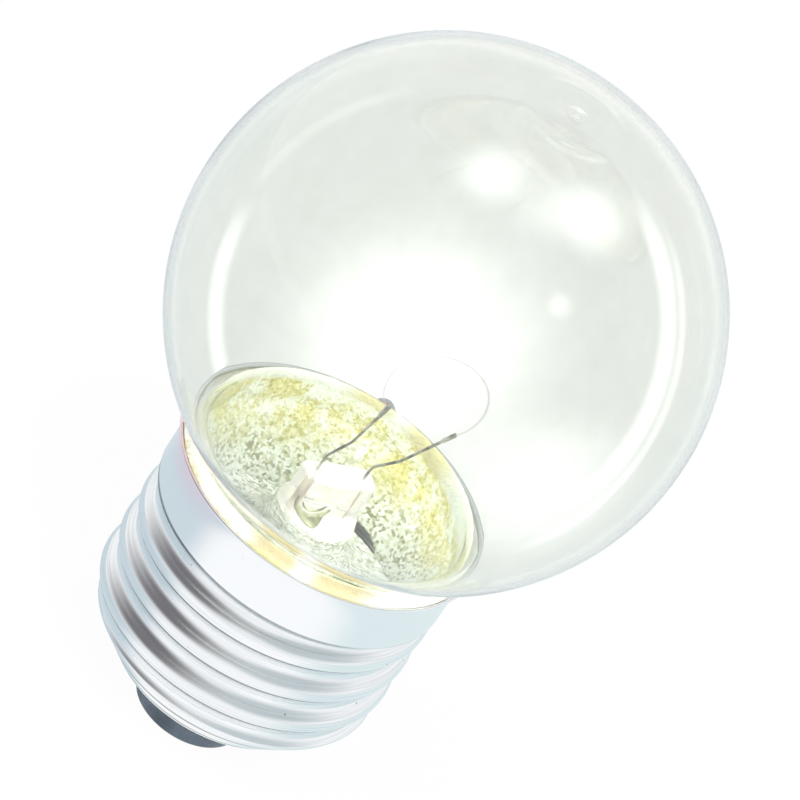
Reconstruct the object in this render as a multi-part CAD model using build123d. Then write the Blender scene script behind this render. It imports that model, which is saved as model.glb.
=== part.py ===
from build123d import *
import math
import os

# A clear round appliance bulb with an E27 screw cap, in millimetres.
# The centre contact stands on the origin, and the crown points along +Z.
# The bulb is seen from -Y, and the stem's press is turned a little from that side.

# Globe, crown mark and neck
globe_radius = 22.9
glass_wall = 0.6
crown_ring_radius = 4.0
crown_ring_width = 1.2
crown_ring_depth = 0.06
bead_radius = 1.0
bead_height = 0.2
neck_radius = 12.5
neck_fillet = 2.0
neck_showing = 0.15
neck_inside = 2.6
seal_radius = 9.6
seal_height = 17.1

# Glass stem: a quarter-round flare, a flat press and the exhaust tube
stem_wall = 0.9
stem_radius = 3.6
press_width = 6.6
press_thickness = 2.6
press_corner = 0.8
press_edge = 0.5
press_shoulder = 1.2
press_height = 4.9
press_turn = 35.0
blow_hole_radius = 1.2
blow_hole_rise = 1.6
exhaust_radius = 1.5
exhaust_wall = 0.4
exhaust_length = 13.9

# Inner leads, bent at places across, behind and above the middle of the press's top
lead_radius = 0.13
lead_spacing = 4.4
lead_embedded = 0.5
lead_bend = 0.9
left_lead_bends = ((-1.8, -1.26, 1.5), (-0.65, -1.0, 3.9), (0.3, -0.6, 8.6))
right_lead_bends = ((1.85, 1.26, 1.3), (3.5, 1.3, 3.3), (6.1, 1.25, 8.6))
clamp_radius = 0.2
clamp_length = 1.3
filament_radius = 0.12
filament_grip = 0.35
filament_arch = 7.0

# Wires below the press
seal_wire_tail = 0.3
outer_lead_radius = 0.13
outer_lead_bend = 0.6
wire_gap = 0.1
fuse_radius = 0.08
fuse_length = 4.0
contact_lead_turn = 2.0
side_lead_drop = 1.3

# Screw shell
cap_length = 27.4
rim_radius = 13.95
flare_height = 2.8
skirt_radius = 13.2
skirt_length = 5.3
sheet = 0.3
thread_radius = 13.15
thread_depth = 1.05
thread_pitch = 3.629
crest_at_front = 15.4
shoulder_radius = 3.9
shoulder_angle = 43.0
shoulder_top = 11.2
lip_radius = 9.2

# Insulator, centre contact, solder and cement
insulator_radius = 4.8
insulator_bottom = 0.55
insulator_plug = 1.8
insulator_bulge = 40.0
wire_bore = 0.6
contact_radius = 4.3
contact_thickness = 0.45
contact_drop = 0.25
solder_radius = 2.1
solder_flat = 0.9
side_solder_radius = 1.1
side_solder_drop = 0.9
cement_below_rim = 0.15
cement_length = 8.4
cement_rise = 0.9

# Heights that follow from the sizes above
neck_top = cap_length + neck_showing
neck_bottom = cap_length - neck_inside
fillet_reach = neck_radius + neck_fillet
fillet_drop = math.sqrt((globe_radius + neck_fillet) ** 2 - fillet_reach**2)
globe_height = neck_top + fillet_drop
seal_top = seal_height + stem_wall
flare_radius = seal_radius - stem_radius
stem_top = seal_top + flare_radius
press_top = stem_top + press_height
seal_wire_bottom = stem_top - seal_wire_tail
seal_wire_top = press_top - lead_embedded
skirt_bottom = cap_length - skirt_length
turn = math.radians(shoulder_angle)
shoulder_axis = skirt_radius - shoulder_radius
cone_start = shoulder_axis + shoulder_radius * math.cos(turn)
cone_height = shoulder_top - shoulder_radius * math.sin(turn)
lip_height = cone_height - (cone_start - lip_radius) / math.tan(turn)
contact_face = insulator_bottom - contact_drop
lead_offset = lead_spacing / 2
lead_place = Vector(lead_offset, 0).rotate(Axis.Z, press_turn)

STANDING = (Align.CENTER, Align.CENTER, Align.MIN)
FRONT = -90
MIDDLE = Vector(0, 0)


def chain(*points):
    """Straight edges from point to point."""
    return [Line(a, b) for a, b in zip(points, points[1:])]


def turned(*edges):
    """The solid that an outline of radius and height sweeps about the bulb's axis."""
    return revolve(Plane.XZ * make_face(edges), Axis.Z)


def upright(place, bottom, top, radius):
    """A straight upright bar or wire at a place in plan."""
    return Pos(place.X, place.Y, bottom) * Cylinder(radius, top - bottom, align=STANDING)


def bent_wire(points, radius, bend):
    """A round wire with straight runs and rounded bends."""
    path = FilletPolyline(*points, radius=bend)
    return sweep((path ^ 0) * Circle(radius), path=path)


def on_globe(radius, rise=0):
    """The point at a radius on the upper half of the globe's outside, raised or sunk."""
    return (radius, globe_height + math.sqrt(globe_radius**2 - radius**2) + rise)


def crown_edges(end):
    """The globe's outline with the bead and the pressed ring on its crown."""
    ring_inside = crown_ring_radius - crown_ring_width / 2
    ring_outside = crown_ring_radius + crown_ring_width / 2
    return [
        ThreePointArc(on_globe(0, bead_height), on_globe(bead_radius / 2, bead_height * 0.75), on_globe(bead_radius)),
        ThreePointArc(on_globe(bead_radius), on_globe((bead_radius + ring_inside) / 2), on_globe(ring_inside)),
        ThreePointArc(on_globe(ring_inside), on_globe(crown_ring_radius, -crown_ring_depth), on_globe(ring_outside)),
        ThreePointArc(on_globe(ring_outside), (globe_radius, globe_height), end),
    ]


def bulb_body(inset):
    """The globe and neck filled solid, with the skin moved in; the outer skin carries the crown's mark."""
    radius = globe_radius - inset
    fillet_size = neck_fillet + inset
    share = radius / (globe_radius + neck_fillet)
    meets_fillet = (fillet_reach * share, globe_height - fillet_drop * share)
    slope = math.atan2(fillet_drop, fillet_reach)
    half_way = (
        fillet_reach - fillet_size * math.cos(slope / 2),
        neck_top + fillet_size * math.sin(slope / 2),
    )
    neck = neck_radius - inset
    end = seal_radius + glass_wall - inset
    if inset:
        crown = (0, globe_height + radius)
        globe = [ThreePointArc(crown, (radius, globe_height), meets_fillet)]
    else:
        crown = on_globe(0, bead_height)
        globe = crown_edges(meets_fillet)
    waist = ThreePointArc(meets_fillet, half_way, (neck, neck_top))
    rest = chain((neck, neck_top), (neck, neck_bottom), (end, seal_top), (end, seal_height), (0, seal_height), crown)
    return turned(*globe, waist, *rest)


def flare_arc(radius):
    """One side of the quarter-round flare, from the stem out to the seal."""
    part = radius * math.sqrt(0.5)
    middle = (seal_radius - part, stem_top - part)
    return ThreePointArc((seal_radius - radius, stem_top), middle, (seal_radius, stem_top - radius))


def make_stem(wires):
    """The flared stem and its flat press, with the blow-hole, pinched shut on the wires."""
    inner_flare = flare_radius + stem_wall
    flare = turned(
        flare_arc(flare_radius),
        Line((seal_radius, seal_top), (seal_radius, seal_height)),
        flare_arc(inner_flare),
        Line((seal_radius - inner_flare, stem_top), (stem_radius, stem_top)),
    )
    pinch = Pos(0, 0, stem_top + press_shoulder) * RectangleRounded(press_width, press_thickness, press_corner)
    waist = loft([Pos(0, 0, stem_top) * Circle(stem_radius), pinch])
    flat = extrude(pinch, press_height - press_shoulder)
    flat = fillet(flat.edges().group_by(Axis.Z)[-1], press_edge)
    hole_height = stem_top + blow_hole_rise
    bore = upright(MIDDLE, stem_top, hole_height, exhaust_radius - exhaust_wall)
    blow_hole = Pos(0, 0, hole_height) * Rot(90, 0, 0) * Cylinder(blow_hole_radius, stem_radius, align=STANDING)
    press = Rot(0, 0, press_turn) * (waist + flat - bore - blow_hole)
    return flare + press - wires


def make_exhaust_tube():
    """The tube that the globe was emptied through, melted shut at its lower tip."""
    bore = exhaust_radius - exhaust_wall
    tip = stem_top - exhaust_length
    middle = (0, tip + exhaust_radius)
    return turned(
        CenterArc(middle, exhaust_radius, -90, 90),
        *chain((exhaust_radius, middle[1]), (exhaust_radius, stem_top), (bore, stem_top), (bore, middle[1])),
        CenterArc(middle, bore, -90, 90),
        Line((0, middle[1] - bore), (0, tip)),
    )


def lead_points(side, bends):
    """The corners of an inner lead, from inside the press to its tip."""
    root = lead_place * side + Vector(0, 0, seal_wire_top)
    return [root] + [Vector(*bend) + Vector(0, 0, press_top) for bend in bends]


def last_run(points):
    """The direction of a wire's last run."""
    return (points[-1] - points[-2]).normalized()


def make_filament(left, right):
    """The outer form of the coiled filament, an arch from clamp to clamp."""
    start = left[-1] - last_run(left) * filament_grip
    end = right[-1] - last_run(right) * filament_grip
    apex = (left[-1] + right[-1]) / 2 + Vector(0, 0, filament_arch)
    path = ThreePointArc(start, apex, end)
    return sweep((path ^ 0) * Circle(filament_radius), path=path)


def make_inner_lead(points, filament):
    """A nickel lead whose tip is folded into a clamp on the filament's end."""
    run = last_run(points)
    clamp = Plane(points[-1] - run * clamp_length, z_dir=run) * Cylinder(clamp_radius, clamp_length, align=STANDING)
    return bent_wire(points, lead_radius, lead_bend) + clamp - filament


def make_contact_lead(top):
    """The lead from the fuse past the exhaust tube and down the middle to the centre contact."""
    turn_height = stem_top - exhaust_length - outer_lead_radius
    start = -lead_place
    points = (
        (start.X, start.Y, top),
        (start.X, start.Y, turn_height),
        (0, 0, turn_height - contact_lead_turn),
        (0, 0, contact_face),
    )
    return bent_wire(points, outer_lead_radius, outer_lead_bend)


def side_lead_end():
    """The end of the side lead, outside the rim."""
    return (0, rim_radius + outer_lead_radius + wire_gap, cap_length - side_solder_drop)


def make_side_lead():
    """The lead that runs out under the seal, up beside the neck and over the shell's rim."""
    away = outer_lead_radius + wire_gap
    low = seal_height - side_lead_drop
    beside_seal = seal_radius + glass_wall + away
    beside_neck = neck_radius + away
    over_rim = cap_length + away
    end = side_lead_end()
    points = (
        (lead_place.X, lead_place.Y, seal_wire_bottom),
        (lead_place.X, lead_place.Y, low),
        (0, beside_seal, low),
        (0, beside_seal, seal_top),
        (0, beside_neck, neck_bottom),
        (0, beside_neck, over_rim),
        (0, end[1], over_rim),
        end,
    )
    return bent_wire(points, outer_lead_radius, outer_lead_bend)


def shoulder_point(inset, angle):
    """A point of the shoulder's arc, by the angle that the arc has turned through."""
    radius = shoulder_radius - inset
    return (shoulder_axis + radius * math.cos(angle), shoulder_top - radius * math.sin(angle))


def threaded_bar(inset, bottom, top):
    """A round bar carried up a slim helix without turning, which leaves one rounded thread at each turn."""
    off_centre = thread_depth / 2
    start_angle = FRONT - 360 * (crest_at_front - bottom) / thread_pitch
    slim_helix = Pos(0, 0, bottom) * Rot(0, 0, start_angle) * Helix(thread_pitch, top - bottom, off_centre)
    section = Pos(slim_helix @ 0) * Circle(thread_radius - off_centre - inset)
    return sweep(section, path=slim_helix, normal=(0, 0, 1))


def shell_body(inset):
    """The screw shell filled solid, with its skin moved in.

    The shoulder's outline trims the thread below, and the skirt's cone ends it above.
    """
    thread_end = skirt_bottom + thread_depth
    skirt = skirt_radius - inset
    rim = rim_radius - inset
    arc_end = shoulder_point(inset, turn)
    lip = (arc_end[0] - (arc_end[1] - lip_height) * math.tan(turn), lip_height)
    shoulder = turned(
        *chain((0, lip_height), lip, arc_end),
        ThreePointArc(arc_end, shoulder_point(inset, turn / 2), (skirt, shoulder_top)),
        *chain((skirt, shoulder_top), (skirt, thread_end), (0, thread_end), (0, lip_height)),
    )
    run_out = 2 * thread_depth
    flare_start = cap_length - flare_height
    collar = turned(
        *chain((0, skirt_bottom - run_out), (skirt - run_out, skirt_bottom - run_out)),
        *chain((skirt - run_out, skirt_bottom - run_out), (skirt, skirt_bottom), (skirt, flare_start)),
        TangentArc((skirt, flare_start), (rim, cap_length), tangent=(0, 1)),
        *chain((rim, cap_length), (0, cap_length), (0, skirt_bottom - run_out)),
    )
    return (threaded_bar(inset, lip_height, thread_end) & shoulder) + collar


def make_insulator(cavity):
    """The dark glass button: it closes the shell, plugs its inside and beds the contact plate."""
    edge = (insulator_radius, insulator_bottom)
    lip = (lip_radius, lip_height)
    button = turned(
        *chain((0, lip_height), (0, insulator_bottom), edge),
        RadiusArc(edge, lip, -insulator_bulge),
        Line(lip, (0, lip_height)),
    )
    plug = cavity & Pos(0, 0, lip_height) * Cylinder(skirt_radius, insulator_plug, align=STANDING)
    bore = upright(MIDDLE, 0, lip_height + insulator_plug, wire_bore)
    return button + plug - bore - make_contact_disc()


def make_contact_disc():
    """The brass plate without its eyelet."""
    return upright(MIDDLE, contact_face, contact_face + contact_thickness, contact_radius)


def make_contact_solder(lead):
    """The solder that fills the eyelet and stands as a flat-topped dome under the plate."""
    top = contact_face + contact_thickness
    dome = turned(
        *chain((wire_bore, contact_face), (wire_bore, top), (0, top), (0, 0), (solder_flat, 0)),
        TangentArc((solder_flat, 0), (solder_radius, contact_face), tangent=(1, 0)),
        Line((solder_radius, contact_face), (wire_bore, contact_face)),
    )
    return dome - lead


def make_cement(cavity, glass, side_lead):
    """The cement ring between the skirt and the neck, drawn up the glass in a rim of its own."""
    edge = rim_radius - sheet
    top = cap_length - cement_below_rim
    bottom = top - cement_length
    drawn_up = neck_top + cement_rise
    ring = turned(*chain((0, bottom), (edge, bottom), (edge, top), (neck_radius, drawn_up), (0, drawn_up), (0, bottom)))
    room = cavity + upright(MIDDLE, cap_length, drawn_up, edge)
    return (ring & room) - glass - side_lead


left_points = lead_points(-1, left_lead_bends)
right_points = lead_points(1, right_lead_bends)
filament = make_filament(left_points, right_points)
inner_lead_left = make_inner_lead(left_points, filament)
inner_lead_right = make_inner_lead(right_points, filament)
seal_wire_left = upright(-lead_place, seal_wire_bottom, seal_wire_top, lead_radius)
seal_wire_right = upright(lead_place, seal_wire_bottom, seal_wire_top, lead_radius)
fuse_bottom = seal_wire_bottom - fuse_length
fuse_link = upright(-lead_place, fuse_bottom, seal_wire_bottom, fuse_radius)
contact_lead = make_contact_lead(fuse_bottom)
side_lead = make_side_lead()

glass = bulb_body(0)
glass_envelope = glass - bulb_body(glass_wall)
pinched_wires = Compound([inner_lead_left, inner_lead_right, seal_wire_left, seal_wire_right])
stem_press = make_stem(pinched_wires)

shell = shell_body(0)
cavity = shell_body(sheet)
cap_shell = shell - cavity
eyelet = upright(MIDDLE, contact_face, contact_face + contact_thickness, wire_bore)
contact_plate = make_contact_disc() - eyelet
side_solder = Pos(*side_lead_end()) * Sphere(side_solder_radius) - shell - side_lead

pieces = {
    "glass_envelope": glass_envelope,
    "stem_press": stem_press,
    "exhaust_tube": make_exhaust_tube(),
    "inner_lead_left": inner_lead_left,
    "inner_lead_right": inner_lead_right,
    "filament": filament,
    "seal_wire_left": seal_wire_left,
    "seal_wire_right": seal_wire_right,
    "fuse_link": fuse_link,
    "outer_lead_contact": contact_lead,
    "outer_lead_shell": side_lead,
    "cap_shell": cap_shell,
    "capping_cement": make_cement(cavity, glass, side_lead),
    "insulator": make_insulator(cavity),
    "contact_plate": contact_plate,
    "contact_solder": make_contact_solder(contact_lead),
    "side_solder": side_solder,
}

os.makedirs("parts", exist_ok=True)
for name, piece in pieces.items():
    export_step(piece, f"parts/{name}.step")
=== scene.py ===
import math
from functools import partial

import bmesh
import bpy
from mathutils import Matrix, Vector, noise


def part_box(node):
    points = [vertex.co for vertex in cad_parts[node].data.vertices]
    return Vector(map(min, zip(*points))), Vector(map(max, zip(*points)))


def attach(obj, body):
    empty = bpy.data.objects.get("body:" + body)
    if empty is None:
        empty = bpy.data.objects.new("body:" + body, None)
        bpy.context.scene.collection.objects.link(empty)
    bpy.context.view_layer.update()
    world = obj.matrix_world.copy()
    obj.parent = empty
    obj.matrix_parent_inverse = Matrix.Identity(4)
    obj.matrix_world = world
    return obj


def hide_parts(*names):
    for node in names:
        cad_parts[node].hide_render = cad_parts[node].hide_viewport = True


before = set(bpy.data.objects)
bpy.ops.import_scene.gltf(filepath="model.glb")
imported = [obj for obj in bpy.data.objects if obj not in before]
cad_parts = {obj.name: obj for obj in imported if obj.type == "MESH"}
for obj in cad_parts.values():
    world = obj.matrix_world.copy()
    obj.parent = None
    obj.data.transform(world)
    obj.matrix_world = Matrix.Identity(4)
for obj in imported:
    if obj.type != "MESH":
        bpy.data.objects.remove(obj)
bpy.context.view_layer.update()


# Blown globe
# One piece of clear soda glass, blown in a mould and drawn in to a neck at its lower end.
# The mould leaves a soft ring and a bead on the crown, and the neck is melted onto the stem's flare.
MM = 0.001
globe_low, globe_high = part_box("glass_envelope")
globe_radius = globe_high.x / MM
bead_radius = 1.0
bead_height = 0.2
globe_height = globe_high.z / MM - globe_radius - bead_height
glass_wall = 0.45
crown_ring_radius = 4.0
crown_ring_width = 2.4
crown_ring_depth = 0.025
neck_radius = 12.5
neck_fillet = 2.0
neck_top = 27.55
neck_bottom = 24.8
seal_radius = 9.6
seal_low = globe_low.z / MM
seal_top = seal_low + 0.9
globe_around = 236


def arc(middle, radius, start, end, steps):
    """Points of radius and height along an arc, by angles in degrees from straight out."""
    points = []
    for step in range(steps + 1):
        angle = math.radians(start + (end - start) * step / steps)
        points.append((middle[0] + radius * math.cos(angle), middle[1] + radius * math.sin(angle)))
    return points


def straight(start, end, steps):
    """Points of radius and height along a straight stretch, without its first point."""
    shares = [step / steps for step in range(1, steps + 1)]
    run, climb = end[0] - start[0], end[1] - start[1]
    return [(start[0] + run * share, start[1] + climb * share) for share in shares]


def skinned(name, rings):
    """A smooth closed mesh through rings of points in millimetres; a ring of one point closes an end."""
    shape = bmesh.new()
    around = max(len(ring) for ring in rings)
    made = []
    for ring in rings:
        corners = [shape.verts.new(Vector(point) * MM) for point in ring]
        made.append(corners if len(corners) > 1 else corners * around)
    pairs = list(zip(made, made[1:]))
    if len(rings[0]) > 1:
        pairs.append((made[-1], made[0]))
    for upper, lower in pairs:
        for step in range(around):
            following = (step + 1) % around
            corners = [upper[step], lower[step], lower[following], upper[following]]
            face = shape.faces.new(list(dict.fromkeys(corners)))
            face.smooth = True
    bmesh.ops.recalc_face_normals(shape, faces=shape.faces)
    mesh = bpy.data.meshes.new(name)
    shape.to_mesh(mesh)
    shape.free()
    return mesh


def ring_at(radius, height, around):
    """A level ring of points about the bulb's axis, or the one point on the axis."""
    if radius < 1e-6:
        return [(0, 0, height)]
    angles = [2 * math.pi * step / around for step in range(around)]
    return [(radius * math.cos(angle), radius * math.sin(angle), height) for angle in angles]


def turned(name, outline, around):
    """A mesh turned about the bulb's axis from an outline of radius and height."""
    return skinned(name, [ring_at(radius, height, around) for radius, height in outline])


def placed(name, mesh, node, material):
    """A finished piece that stands for a node of the frame."""
    piece = bpy.data.objects.new(name, mesh)
    bpy.context.scene.collection.objects.link(piece)
    mesh.materials.clear()
    mesh.materials.append(material)
    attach(piece, "root")
    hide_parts(node)
    return piece


def feed(target, value):
    """Sets an input of a node to a value, or links it to the output of another node."""
    if isinstance(value, bpy.types.NodeSocket):
        target.id_data.links.new(value, target)
    else:
        target.default_value = value


def fill(node, **values):
    """Feeds a node's inputs by name."""
    for key, value in values.items():
        feed(node.inputs[key.replace("_", " ")], value)


def add(tree, kind, *terms, **values):
    """A node in a tree, with its properties and inputs set by name, or its inputs in their order."""
    made = tree.nodes.new(kind)
    for key, value in values.items():
        if hasattr(made, key):
            setattr(made, key, value)
        else:
            fill(made, **{key: value})
    for target, term in zip(made.inputs, terms):
        feed(target, term)
    return made


def new_material(name, **values):
    """A node material with values of its Principled shader set by name, its tree and that shader."""
    material = bpy.data.materials.new(name)
    material.use_nodes = True
    shader = material.node_tree.nodes["Principled BSDF"]
    fill(shader, **values)
    return material, material.node_tree, shader


def place_on_piece(tree):
    """The place of a point on the piece, which a pattern follows."""
    return add(tree, "ShaderNodeTexCoord").outputs["Object"]


def ramp(tree, share, *stops, interpolation="LINEAR"):
    """The colour at a share along stops, each with its place and colour."""
    made = add(tree, "ShaderNodeValToRGB", share)
    made.color_ramp.interpolation = interpolation
    elements = made.color_ramp.elements
    for element, (place, colour) in zip(elements, (stops[0], stops[-1])):
        element.position = place
        element.color = (*colour, 1)
    for place, colour in stops[1:-1]:
        elements.new(place).color = (*colour, 1)
    return made.outputs["Color"]


def dented(tree, height, strength, distance):
    """The normal of a surface with fine relief."""
    return add(tree, "ShaderNodeBump", Height=height, Strength=strength, Distance=distance).outputs["Normal"]


def let_lamps_through(material, shade):
    """Lets the light of lamps through glass, a little dimmed, so that it reaches what is inside."""
    tree = material.node_tree
    from_lamp = add(tree, "ShaderNodeLightPath").outputs["Is Shadow Ray"]
    glass = tree.nodes["Principled BSDF"].outputs["BSDF"]
    clear = add(tree, "ShaderNodeBsdfTransparent", Color=(*shade, 1)).outputs["BSDF"]
    mix = add(tree, "ShaderNodeMixShader", from_lamp, glass, clear)
    fill(tree.nodes["Material Output"], Surface=mix.outputs["Shader"])


def globe_outline():
    """The glass from the crown down the outside to the seal, and back up the inside."""
    fillet_reach = neck_radius + neck_fillet
    drop = globe_height - neck_top
    slope = math.degrees(math.atan2(drop, fillet_reach))

    def crown(radius, rise=0.0):
        return (radius, globe_height + math.sqrt(globe_radius ** 2 - radius ** 2) + rise)

    points = []
    for step in range(9):
        share = step / 8
        points.append(crown(bead_radius * share, bead_height * (1 - share * share) ** 2))
    ring_start = crown_ring_radius - crown_ring_width / 2
    points += [crown(bead_radius + (ring_start - bead_radius) * step / 8) for step in range(1, 9)]
    for step in range(1, 17):
        share = step / 16
        dip = crown_ring_depth * math.sin(math.pi * share) ** 2
        points.append(crown(ring_start + crown_ring_width * share, -dip))
    ring_end = math.degrees(math.acos((ring_start + crown_ring_width) / globe_radius))
    points += arc((0, globe_height), globe_radius, ring_end, -slope, 150)[1:]
    points += arc((fillet_reach, neck_top), neck_fillet, 180 - slope, 180, 16)[1:]
    points += straight(points[-1], (neck_radius, neck_bottom), 6)
    points += straight(points[-1], (seal_radius + glass_wall, seal_top), 16)
    points += [(seal_radius + glass_wall, seal_low), (seal_radius, seal_low), (seal_radius, seal_top)]
    points += straight(points[-1], (neck_radius - glass_wall, neck_bottom), 16)
    points += straight(points[-1], (neck_radius - glass_wall, neck_top), 6)
    points += arc((fillet_reach, neck_top), neck_fillet + glass_wall, 180, 180 - slope, 16)[1:]
    points += arc((0, globe_height), globe_radius - glass_wall, -slope, 90, 150)[1:-1]
    points.append((0, globe_height + globe_radius - glass_wall))
    return points


clear_glass, tree, shader = new_material(
    "clear blown glass", Roughness=0.0, IOR=1.5, Transmission_Weight=1.0)
where = place_on_piece(tree)
dust = add(tree, "ShaderNodeTexNoise", Vector=where, Scale=260.0, Detail=6.0, Roughness=0.7)
film = ramp(tree, dust.outputs["Fac"], (0.36, (0.868, 0.892, 0.860)), (0.66, (0.903, 0.920, 0.893)))
ripple = add(tree, "ShaderNodeTexNoise", Vector=where, Scale=90.0, Detail=1.0)
fill(shader, Base_Color=film, Normal=dented(tree, ripple.outputs["Fac"], 0.05, 0.0004))
let_lamps_through(clear_glass, (0.96, 0.98, 0.96))
placed("globe", turned("globe", globe_outline(), globe_around), "glass_envelope", clear_glass)


# Stem and exhaust tube
# A flared tube of lead glass, its upper end pinched flat round the wires, with the exhaust tube inside.
# The flare is wrinkled and crazed where it was melted to the neck, its white flakes painted glints, and the
# pinched end is cleaner.
stem_wall = 0.9
stem_radius = 3.6
press_width = 6.6
press_thickness = 2.6
press_edge = 0.5
press_shoulder = 1.2
press_turn = math.radians(35.0)
press_squareness = 5.0
bore_radius = 1.1
bore_rise = 1.6
wrinkle_depth = 0.10
wrinkle_lump = 1.6
wrinkle_fold = 0.6
wrinkle_ripple = 1.1
wrinkle_shift = 40
stem_around = 160
press_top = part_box("stem_press")[1].z / MM
flare_radius = seal_radius - stem_radius
stem_top = seal_top + flare_radius


def uneven(point, size):
    """Smooth noise between -1 and 1 at a point in millimetres, in lumps of a size."""
    return noise.noise(Vector(point) / size)


def wrinkled(ring, depth):
    """A ring of the stem with its glass drawn unevenly."""
    moved = []
    for x, y, z in ring:
        lump = uneven((x, y, z), wrinkle_lump) + 0.6 * uneven((x + wrinkle_shift, y, z), wrinkle_fold)
        share = 1 + depth * lump / max(math.hypot(x, y), 0.5)
        lift = 0.6 * depth * uneven((x, y + wrinkle_shift, z), wrinkle_ripple)
        moved.append((x * share, y * share, z + lift))
    return moved


def pinched_ring(share, inset, height):
    """A ring between the round stem and the flat press, which is turned a little from the front."""
    points = []
    for step in range(stem_around):
        angle = 2 * math.pi * step / stem_around
        across, deep = math.cos(angle), math.sin(angle)
        power = 2 / press_squareness
        flat_x = math.copysign(abs(across) ** power, across) * (press_width / 2 - inset)
        flat_y = math.copysign(abs(deep) ** power, deep) * (press_thickness / 2 - inset)
        x = stem_radius * across * (1 - share) + flat_x * share
        y = stem_radius * deep * (1 - share) + flat_y * share
        turned_x = x * math.cos(press_turn) - y * math.sin(press_turn)
        turned_y = x * math.sin(press_turn) + y * math.cos(press_turn)
        points.append((turned_x, turned_y, height))
    return points


def flare_rings():
    """The flare from the stem down its underside, round the seal and back up over its upper side."""
    rings = []
    for radius, height in arc((seal_radius, stem_top), flare_radius + stem_wall, 180, 270, 40):
        rings.append(ring_at(radius, height, stem_around))
    for radius, height in arc((seal_radius, stem_top), flare_radius, 270, 180, 60):
        rings.append(wrinkled(ring_at(radius, height, stem_around), wrinkle_depth))
    return rings


def eased(value):
    """A smooth step from nothing at zero to all at one."""
    value = min(1.0, max(0.0, value))
    return value * value * (3 - 2 * value)


def press_rings():
    """The pinched end from the bore at its foot, out to the round stem and up to the flat top."""
    foot = stem_top + 0.01
    bore_top = foot + bore_rise
    under = [(0, bore_top), (bore_radius, bore_top), (bore_radius, foot), (stem_radius - stem_wall, foot)]
    rings = [ring_at(radius, height, stem_around) for radius, height in under]
    for step in range(13):
        share = step / 12
        rings.append(wrinkled(pinched_ring(eased(share), 0, foot + press_shoulder * share), wrinkle_depth))
    flat_end = press_top - press_edge
    for step in range(1, 11):
        height = stem_top + press_shoulder + (flat_end - stem_top - press_shoulder) * step / 10
        rings.append(wrinkled(pinched_ring(1, 0, height), 0.6 * wrinkle_depth))
    for step in range(1, 7):
        angle = math.radians(90 * step / 6)
        inset = press_edge * (1 - math.cos(angle))
        rings.append(pinched_ring(1, inset, flat_end + press_edge * math.sin(angle)))
    rings.append(pinched_ring(1, press_thickness * 0.4, press_top))
    rings.append([(0, 0, press_top)])
    return rings


def flake_share(tree, place, scale):
    """A value that jumps from flake to flake of crazed glass or cement."""
    flakes = add(tree, "ShaderNodeTexVoronoi", Vector=place, Scale=scale)
    return add(tree, "ShaderNodeSeparateXYZ", flakes.outputs["Color"]).outputs["X"]


crazed_and_glinting_glass, tree, shader = new_material(
    "crazed flare glass", Roughness=0.2, IOR=1.5, Transmission_Weight=0.15)
where = place_on_piece(tree)
stretch = add(tree, "ShaderNodeVectorMath", where, (1.0, 1.0, 2.2), operation="MULTIPLY").outputs["Vector"]
warp = add(tree, "ShaderNodeTexNoise", Vector=where, Scale=500.0, Detail=3.0).outputs["Color"]
bent = add(tree, "ShaderNodeMixRGB", 0.0006, stretch, warp, blend_type="LINEAR_LIGHT").outputs["Color"]
# Grey-green crazing of the glass, whose white flakes are painted glints.
crazing_and_glint_tone = ramp(
    tree, flake_share(tree, bent, 3000.0),
    (0.0, (0.24, 0.27, 0.17)), (0.35, (0.54, 0.58, 0.45)), (0.68, (0.84, 0.88, 0.79)),
    (0.86, (1.0, 1.0, 0.97)), interpolation="EASE")
lumps = add(tree, "ShaderNodeTexNoise", Vector=where, Scale=600.0, Detail=5.0, Roughness=0.7)
fill(shader, Base_Color=crazing_and_glint_tone, Normal=dented(tree, lumps.outputs["Fac"], 0.7, 0.0003))
let_lamps_through(crazed_and_glinting_glass, (0.75, 0.78, 0.72))
placed("stem_flare", skinned("stem_flare", flare_rings()), "stem_press", crazed_and_glinting_glass)

press_glass, tree, shader = new_material(
    "pinched stem glass", Roughness=0.05, IOR=1.5, Transmission_Weight=0.8)
cords = add(tree, "ShaderNodeTexNoise", Vector=place_on_piece(tree), Scale=420.0, Detail=3.0).outputs["Fac"]
cord_tone = ramp(tree, cords, (0.36, (0.97, 0.94, 0.92)), (0.64, (1.0, 0.99, 0.98)))
fill(shader, Base_Color=cord_tone, Normal=dented(tree, cords, 0.35, 0.0004))
let_lamps_through(press_glass, (0.92, 0.93, 0.90))
placed("stem_pinch", skinned("stem_pinch", press_rings()), "stem_press", press_glass)

lip_middle = (-1.5, stem_top + 2.5)
lip_proud = 0.14


def lip_rings(radius, thick, start, end):
    """A rounded bead along an arc on the press's front face, thin at its two ends."""
    rings = []
    for step in range(41):
        share = step / 40
        angle = math.radians(start + (end - start) * share)
        bead = thick * math.sqrt(max(0.0, math.sin(math.pi * share)))
        ring = []
        for corner in range(12):
            around = 2 * math.pi * corner / 12
            along = lip_middle[0] + (radius + bead * math.cos(around)) * math.cos(angle)
            height = lip_middle[1] + (radius + bead * math.cos(around)) * math.sin(angle)
            flat = eased((height - stem_top) / press_shoulder)
            round_out = math.sqrt(max(0.0, stem_radius ** 2 - along ** 2))
            out = round_out * (1 - flat) + press_thickness / 2 * flat + lip_proud + bead * math.sin(around)
            x = along * math.cos(press_turn) + out * math.sin(press_turn)
            y = along * math.sin(press_turn) - out * math.cos(press_turn)
            ring.append((x, y, height))
        rings.append(ring if bead > 1e-6 else ring[:1])
    return rings


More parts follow.
